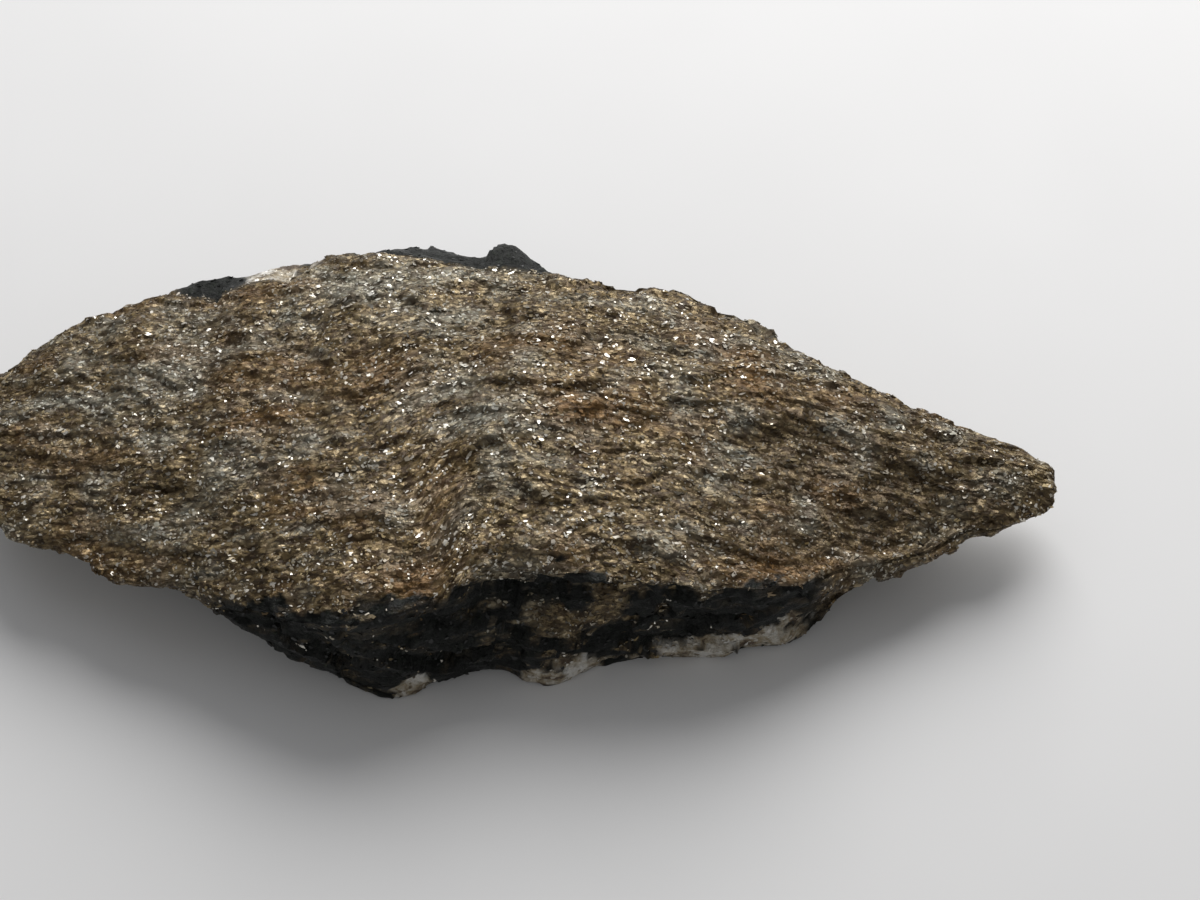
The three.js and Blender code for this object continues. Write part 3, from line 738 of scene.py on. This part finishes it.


# Mica schist split along its foliation: a mosaic of small scales drawn out along the grain, each tipped its
# own way so that some flash, dull brown painted in the gaps as shade, a black band of hornblende, and lenses
# of milky quartz.
def splitSchist():
    look = schistLook
    material, tree, shader = newMaterial("mica schist, split")
    place = addNode(tree, "Attribute", attribute_name="grain")["Vector"]  # millimetres in the grain
    mica, quartz, creaseShade = (
        addNode(tree, "Attribute", attribute_name=name)["Fac"] for name in ("mica", "quartz", "creaseShade")
    )
    wanderScale, reach = 1 / look["wander"]["size"], look["wander"]["reach"]
    wander = addNode(tree, "TexNoise", {"Vector": place, "Scale": wanderScale, "Detail": 2})["Color"]
    place = addNode(tree, "VectorMath", {0: wander, 1: reach, 2: place}, operation="MULTIPLY_ADD")[0]

    # scales of the given length and width: a random tone for each, a height that tips it, and its distance
    def mosaic(length, width):
        cells = addNode(tree, "Mapping", {0: place, 3: (1 / length, 1 / width, 1 / width)})[0]
        scale = addNode(tree, "TexVoronoi", {"Vector": cells, "Scale": 1.0})
        offset = addNode(tree, "VectorMath", {0: cells, 1: scale["Position"]}, operation="SUBTRACT")[0]
        tip = addNode(tree, "VectorMath", {0: scale["Color"], 1: (0.5, 0.5, 0.5)}, operation="SUBTRACT")[0]
        height = addNode(tree, "VectorMath", {0: offset, 1: tip}, operation="DOT_PRODUCT")[1]
        return addNode(tree, "SeparateColor", {0: scale["Color"]})[2], height, scale["Distance"]

    coarseTone, coarseHeight, coarseGap = mosaic(*look["coarse"])
    fineTone, fineHeight, _ = mosaic(*look["fine"])
    tone = addNode(tree, "Mix", {0: look["fineShare"], 2: coarseTone, 3: fineTone})[0]
    brown = addNode(tree, "ValToRGB", {0: tone}, stops=look["brown"])[0]
    # washes of colour over the brown; the dull one is partly painted shade
    for name, colour, share in look["washes"]:
        amount = addNode(tree, "Attribute", attribute_name=name)["Fac"]
        amount = addNode(tree, "Math", {0: amount, 1: share}, operation="MULTIPLY")[0]
        brown = addNode(tree, "Mix", {0: amount, 6: brown, 7: linear(colour)}, data_type="RGBA")[2]
    # painted shade: the brown darkens towards the gap colour at the edges of the coarse scales and where the
    # painted crease shade lies
    gapFrom, gapTo = look["gapEdge"]
    shadeInGap = addNode(tree, "MapRange", {0: coarseGap, 1: gapFrom, 2: gapTo, 3: 0.0, 4: look["gapShade"]})[0]
    shadeInGap = addNode(tree, "Math", {0: shadeInGap, 1: creaseShade}, operation="MAXIMUM")[0]
    brown = addNode(tree, "Mix", {0: shadeInGap, 6: brown, 7: linear(look["gapShadeColour"])}, data_type="RGBA")[2]

    # the band and the lenses under it
    gritScale, patchScale = 1 / look["gritSize"], 1 / look["patchSize"]
    grit = addNode(
        tree, "TexNoise", {"Vector": place, "Scale": gritScale, "Detail": 5, "Roughness": look["gritRough"]}
    )[0]
    black = addNode(tree, "ValToRGB", {0: grit}, stops=look["black"])[0]
    patch = addNode(
        tree, "TexNoise", {"Vector": place, "Scale": patchScale, "Detail": 4, "Roughness": look["patchRough"]}
    )[0]
    milky = addNode(tree, "ValToRGB", {0: patch}, stops=look["milky"])[0]
    colour = addNode(tree, "Mix", {0: mica, 6: black, 7: brown}, data_type="RGBA")[2]
    colour = addNode(tree, "Mix", {0: quartz, 6: colour, 7: milky}, data_type="RGBA")[2]

    # polish and fine relief
    roughest, smoothest = look["scaleRoughness"]
    rough = addNode(tree, "MapRange", {0: fineTone, 3: roughest, 4: smoothest})[0]
    rough = addNode(tree, "Mix", {0: mica, 2: look["bareRoughness"], 3: rough})[0]
    metal = addNode(tree, "Math", {0: mica, 1: look["metallic"]}, operation="MULTIPLY")[0]
    height = addNode(tree, "Math", {0: fineHeight, 1: look["fineHeight"]}, operation="MULTIPLY")[0]
    height = addNode(
        tree, "Math", {0: coarseHeight, 1: look["coarseHeight"], 2: height}, operation="MULTIPLY_ADD"
    )[0]
    onBand, onMica = look["gritHeight"]
    gritHeight = addNode(tree, "MapRange", {0: mica, 3: onBand, 4: onMica})[0]
    height = addNode(tree, "Math", {0: grit, 1: gritHeight, 2: height}, operation="MULTIPLY_ADD")[0]
    bump = addNode(tree, "Bump", {"Strength": 1.0, "Distance": mm, "Height": height})[0]
    onBand, onMica = look["specular"]
    sheen = addNode(tree, "MapRange", {0: mica, 3: onBand, 4: onMica})[0]
    fill(tree, shader, {
        "Base Color": colour, "Roughness": rough, "Metallic": metal, "Normal": bump,
        "Specular IOR Level": sheen, "IOR": look["ior"],
    })
    return material


micaLook = {
    "bronze": [(0.0, "#2a2110"), (1.0, "#b2a078"), (0.35, "#534528"), (0.7, "#806f48")],
    # the shine wash paints shining plates near white: a painted highlight on top of their real gloss
    "washes": [("gold", "#a58c50"), ("silver", "#b0b0a4"), ("rust", "#795520"), ("shine", "#f6f2e8")],
    "roughness": (0.6, 0.18), "metallic": (0.2, 0.75), "ior": 1.6,  # of dull and of bright plates
}


# Cleaved mica, brown with weathering: smooth plates with a pearly, half-metallic shine, from silver through
# bronze to gold, and rust where water has got in. Plates that shine are also painted near white, a painted
# highlight.
def cleavedMica():
    material, tree, shader = newMaterial("mica, cleaved and weathered")
    tone = addNode(tree, "Attribute", attribute_name="tone")["Fac"]
    colour = addNode(tree, "ValToRGB", {0: tone}, stops=micaLook["bronze"])[0]
    for name, wash in micaLook["washes"]:
        amount = addNode(tree, "Attribute", attribute_name=name)["Fac"]
        colour = addNode(tree, "Mix", {0: amount, 6: colour, 7: linear(wash)}, data_type="RGBA")[2]
    shine = addNode(tree, "Attribute", attribute_name="shine")["Fac"]
    dullest, brightest = micaLook["roughness"]
    rough = addNode(tree, "MapRange", {0: shine, 3: dullest, 4: brightest})[0]
    dullest, brightest = micaLook["metallic"]
    metal = addNode(tree, "MapRange", {0: shine, 3: dullest, 4: brightest})[0]
    fill(tree, shader, {"Base Color": colour, "Roughness": rough, "Metallic": metal, "IOR": micaLook["ior"]})
    return material


hornblendeLook = {
    "black": [(0.0, "#040504"), (1.0, "#3a3d36"), (0.6, "#0a0c09"), (0.88, "#151813")],
    "roughness": (0.6, 0.3), "specular": 0.4, "ior": 1.6,
}


# Hornblende and black mica, broken: small splintery faces, greenish black, that flash grey where they turn.
def brokenHornblende():
    material, tree, shader = newMaterial("hornblende, broken")
    tone = addNode(tree, "Attribute", attribute_name="tone")["Fac"]
    colour = addNode(tree, "ValToRGB", {0: tone}, stops=hornblendeLook["black"])[0]
    darkest, palest = hornblendeLook["roughness"]
    rough = addNode(tree, "MapRange", {0: tone, 3: darkest, 4: palest})[0]
    fill(tree, shader, {
        "Base Color": colour, "Roughness": rough,
        "Specular IOR Level": hornblendeLook["specular"], "IOR": hornblendeLook["ior"],
    })
    return material


quartzLook = {
    "milky": [(0.0, "#4e4330"), (1.0, "#dad8d2"), (0.35, "#837763"), (0.6, "#a9a294")],
    "roughness": (0.6, 0.35), "ior": 1.544,
}


# Milky quartz, broken: greasy, uneven faces, white where fresh and tan where iron has stained it.
def brokenQuartz():
    material, tree, shader = newMaterial("milky quartz, broken")
    tone = addNode(tree, "Attribute", attribute_name="tone")["Fac"]
    colour = addNode(tree, "ValToRGB", {0: tone}, stops=quartzLook["milky"])[0]
    darkest, palest = quartzLook["roughness"]
    rough = addNode(tree, "MapRange", {0: tone, 3: darkest, 4: palest})[0]
    fill(tree, shader, {"Base Color": colour, "Roughness": rough, "IOR": quartzLook["ior"]})
    return material


stonePiece(splitSchist())

# Sizes of flakes are in millimetres and angles in degrees. Shingle tips a flake's near edge up, bare keeps
# flakes out of the gaps, and a higher glint makes bright ones rarer.
micaScales = {
    "count": 12000, "seed": 3, "sides": 5, "halfLength": 0.46, "halfWidth": 0.2, "sizeSpread": 0.4,
    "turn": 34, "tip": 8, "shingle": 4, "lift": (-0.05, 0.05), "depth": 0.35, "curl": 0.12, "glint": 4,
    "bare": 0.6,
}
micaSpangles = {
    "count": 18000, "seed": 5, "sides": 5, "halfLength": 0.27, "halfWidth": 0.17, "sizeSpread": 0.42,
    "turn": 60, "tip": 15, "shingle": 2, "lift": (0.0, 0.1), "depth": 0.3, "curl": 0.05, "glint": 2.0,
    "bare": 0.85,
}

# how the two kinds of mica flake take their tone, washes and shine from the stone under them; flakes in the
# painted crease shade and in dull patches are painted darker and shine less
micaTones = {
    "brightWaves": [(6, 3.2, 0.5, 41), (2.2, 1.1, 0.5, 42)], "creaseShadeOnFlakes": 0.8,
    "tone": (2.0, 3.0), "toneFromBright": 0.45, "toneFromDull": 0.5,
    "gold": 0.5, "goldSpread": 0.12, "mostGold": 0.8,
    "silver": 1.4, "rust": 1.1, "mostWash": 0.9,
    "shineFromDull": 0.6, "leastShine": 0.6, "shineFromBright": 1.6,
}
onMica = fields["mica"] * (1 - fields["quartz"])
mica = cleavedMica()
for name, shape in (("micaScales", micaScales), ("micaSpangles", micaSpangles)):
    rng = np.random.default_rng(shape["seed"])
    count = shape["count"]
    places = scatter(onMica * (1 - shape["bare"] * fields["creaseShade"]), count, rng)
    gold, silver, rust, dullAndShade, creaseShade = (
        atPlaces(fields[key], places) for key in ("gold", "silver", "rust", "dullAndShade", "creaseShade")
    )
    # painted shade: flakes in the creases count as dull, so they are painted darker and shine less
    dullAndShade = np.clip(dullAndShade + micaTones["creaseShadeOnFlakes"] * creaseShade, 0, 1)
    alongGrain, acrossGrain, _ = atPlaces(grain, places).T
    bright = waves(micaTones["brightWaves"], alongGrain, acrossGrain)
    tone = rng.beta(*micaTones["tone"], count) + micaTones["toneFromBright"] * bright
    gold = micaTones["gold"] * gold + rng.normal(0.0, micaTones["goldSpread"], count)
    silver = silver * rng.random(count) * micaTones["silver"]
    rust = rust * rng.random(count) * micaTones["rust"]
    # shine sets each plate's gloss, and also how far it is painted near white as a highlight
    shine = rng.random(count) ** shape["glint"] * (1 - micaTones["shineFromDull"] * dullAndShade)
    # tone is painted darker where the mica is dull, which is painted shade in part
    values = {
        "tone": np.clip(tone * (1 - micaTones["toneFromDull"] * dullAndShade), 0, 1),
        "gold": np.clip(gold, 0, micaTones["mostGold"]),
        "silver": np.clip(silver, 0, micaTones["mostWash"]),
        "rust": np.clip(rust, 0, micaTones["mostWash"]),
        "shine": shine * np.clip(micaTones["leastShine"] + micaTones["shineFromBright"] * bright, 0, 1),
    }
    flakePiece(name, shape, places, values, mica, rng)

darkFlakes = {
    "count": 4000, "seed": 7, "sides": 5, "halfLength": 0.36, "halfWidth": 0.22, "sizeSpread": 0.4,
    "turn": 60, "tip": 12, "shingle": 0, "lift": (-0.04, 0.06), "depth": 0.35, "curl": 0.0,
    "offQuartz": 0.95, "tone": (1.3, 2.6),
}
rng = np.random.default_rng(darkFlakes["seed"])
onBand = (1 - fields["mica"]) * (1 - darkFlakes["offQuartz"] * fields["quartz"])
places = scatter(onBand, darkFlakes["count"], rng)
values = {"tone": rng.beta(*darkFlakes["tone"], darkFlakes["count"])}
flakePiece("darkFlakes", darkFlakes, places, values, brokenHornblende(), rng)

quartzGrains = {
    "count": 1400, "seed": 9, "sides": 6, "halfLength": 0.36, "halfWidth": 0.27, "sizeSpread": 0.4,
    "turn": 90, "tip": 12, "shingle": 0, "lift": (-0.06, 0.05), "depth": 0.4, "curl": 0.0,
    "stain": 0.3, "stainSize": 5, "tone": (0.5, 0.18),
}
rng = np.random.default_rng(quartzGrains["seed"])
places = scatter(fields["quartz"], quartzGrains["count"], rng)
stain = quartzGrains["stain"] * noise(*(atPlaces(stonePoints, places) / quartzGrains["stainSize"]).T)
values = {"tone": np.clip(rng.normal(*quartzGrains["tone"], quartzGrains["count"]) + stain, 0, 1)}
flakePiece("quartzGrains", quartzGrains, places, values, brokenQuartz(), rng)

# The stage: a pale matt floor, a soft key from behind and above, and pale light from all round.
stage = {
    "floorHalf": 3.0, "floorDrop": 0.00005, "floorColours": ("#dcdcdc", "#e1e1e1"),
    "floorMottle": 40, "floorRoughness": 0.9,
    "keyFrom": (0.12, 0.5, 0.45), "keySize": 0.65, "keyPower": 5.8, "keyColour": "#fffefd",
    "fillFrom": (-0.3, 0.6, 1.2), "fillSize": 1.2, "fillPower": 1.5, "fillColour": "#f4f6ff",
    "worldColour": "#f2f2f2", "worldStrength": 0.3,
}


# Matt white paper, barely uneven in tone, so that the shadow lies soft and plain on it.
def paleFloor():
    material, tree, shader = newMaterial("matt white paper")
    where = addNode(tree, "TexCoord")["Object"]
    mottleScale = 1 / (stage["floorMottle"] * mm)
    mottle = addNode(tree, "TexNoise", {"Vector": where, "Scale": mottleScale, "Detail": 2})[0]
    darker, paler = (linear(colour) for colour in stage["floorColours"])
    colour = addNode(tree, "Mix", {0: mottle, 6: darker, 7: paler}, data_type="RGBA")[2]
    fill(tree, shader, {"Base Color": colour, "Roughness": stage["floorRoughness"]})
    half, z = stage["floorHalf"], -stage["floorDrop"]
    corners = [(-half, -half, z), (half, -half, z), (half, half, z), (-half, half, z)]
    mesh = bpy.data.meshes.new("floor")
    mesh.from_pydata(corners, [], [(0, 1, 2, 3)])
    mesh.materials.append(material)
    floor = bpy.data.objects.new("floor", mesh)
    scene.collection.objects.link(floor)


# A round lamp that faces the stone.
def softLight(name, at, size, power, colour):
    light = bpy.data.lights.new(name, "AREA")
    light.shape, light.size, light.energy, light.color = "DISK", size, power, linear(colour)[:3]
    lamp = bpy.data.objects.new(name, light)
    lamp.location = at
    lamp.rotation_euler = (-Vector(at)).to_track_quat("-Z", "Y").to_euler()
    scene.collection.objects.link(lamp)


paleFloor()
softLight("key", stage["keyFrom"], stage["keySize"], stage["keyPower"], stage["keyColour"])
softLight("fill", stage["fillFrom"], stage["fillSize"], stage["fillPower"], stage["fillColour"])
scene.world = scene.world or bpy.data.worlds.new("studio")
scene.world.use_nodes = True
background = scene.world.node_tree.nodes["Background"]
background.inputs["Color"].default_value = linear(stage["worldColour"])
background.inputs["Strength"].default_value = stage["worldStrength"]
scene.view_settings.view_transform = "Standard"
print("stage: floor, two lamps, sky")

# The camera looks down along +Y, and its frame cuts off the left end of the stone.
cameraView = {
    "elevation": 62, "distance": 0.44, "lens": 80, "sensor": 36, "clipStart": 0.01,
    "target": (0.0169, 0, 0.018), "rise": -0.0012,
}
camera = bpy.data.objects.new("camera", bpy.data.cameras.new("camera"))
tilt = math.radians(cameraView["elevation"])
forward, upward = Vector((0, math.cos(tilt), -math.sin(tilt))), Vector((0, math.sin(tilt), math.cos(tilt)))
aim = Vector(cameraView["target"]) + upward * cameraView["rise"]
camera.location = aim - forward * cameraView["distance"]
camera.rotation_euler = (math.pi / 2 - tilt, 0, 0)
camera.data.lens, camera.data.sensor_width = cameraView["lens"], cameraView["sensor"]
camera.data.sensor_fit = "HORIZONTAL"
camera.data.clip_start = cameraView["clipStart"]
scene.collection.objects.link(camera)
scene.camera = camera
